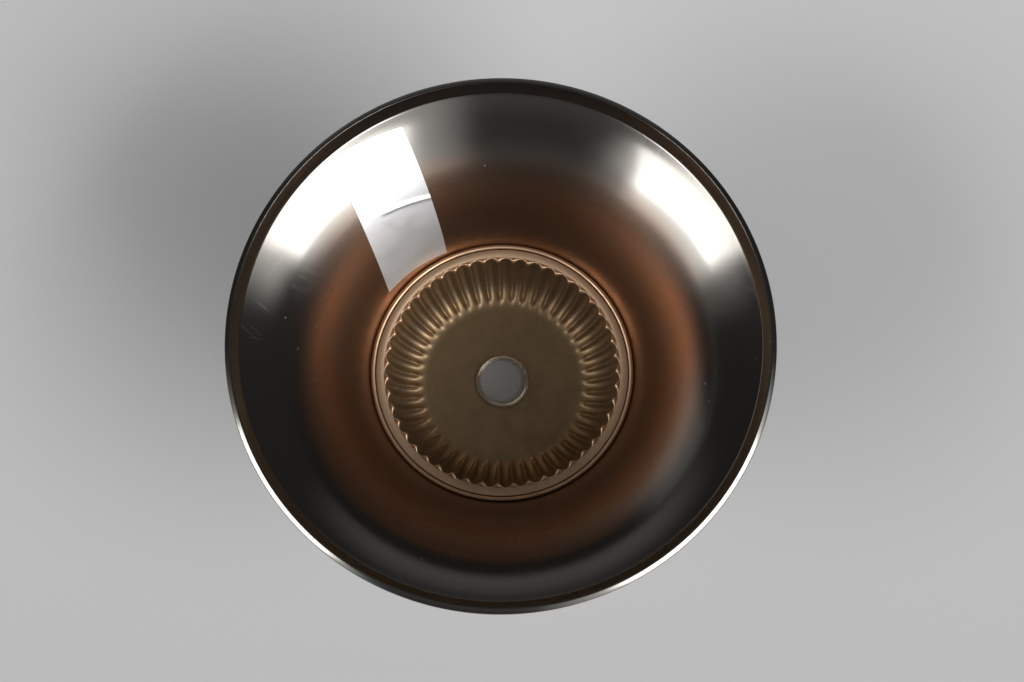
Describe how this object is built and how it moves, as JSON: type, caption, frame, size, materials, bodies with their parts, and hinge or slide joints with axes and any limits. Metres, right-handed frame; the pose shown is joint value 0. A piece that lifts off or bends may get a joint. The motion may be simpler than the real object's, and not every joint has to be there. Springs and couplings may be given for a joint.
{
  "type": "ceiling canopy",
  "caption": "Flared metal ceiling cup of a pendant chandelier, open at its rim, with a fluted cup in its neck and a bushed hole for the suspension.",
  "frame": {"origin": "on the axis, at the underside of the fluted cup's floor", "axes": "+Z along the axis, from the fluted cup's floor to the open rim; +X is any radius, and the label lies between +Y and -X"},
  "size_m": [0.13, 0.13, 0.0573],
  "materials": {
    "dark_bronze": "spun steel plated dark bronze, brown at the neck and near black at the rim, finely brushed round the axis",
    "light_bronze": "pressed steel plated pale bronze, satin",
    "bright_bronze": "turned brass plated bronze, polished on its edges",
    "silver_foil": "blank silver foil, satin, creased once across its middle"
  },
  "bodies": {
    "root": {"bell_shell": "dark_bronze", "fluted_cup": "light_bronze", "neck_ring": "light_bronze", "centre_bush": "bright_bronze", "foil_label": "silver_foil"}
  },
  "joints": []
}
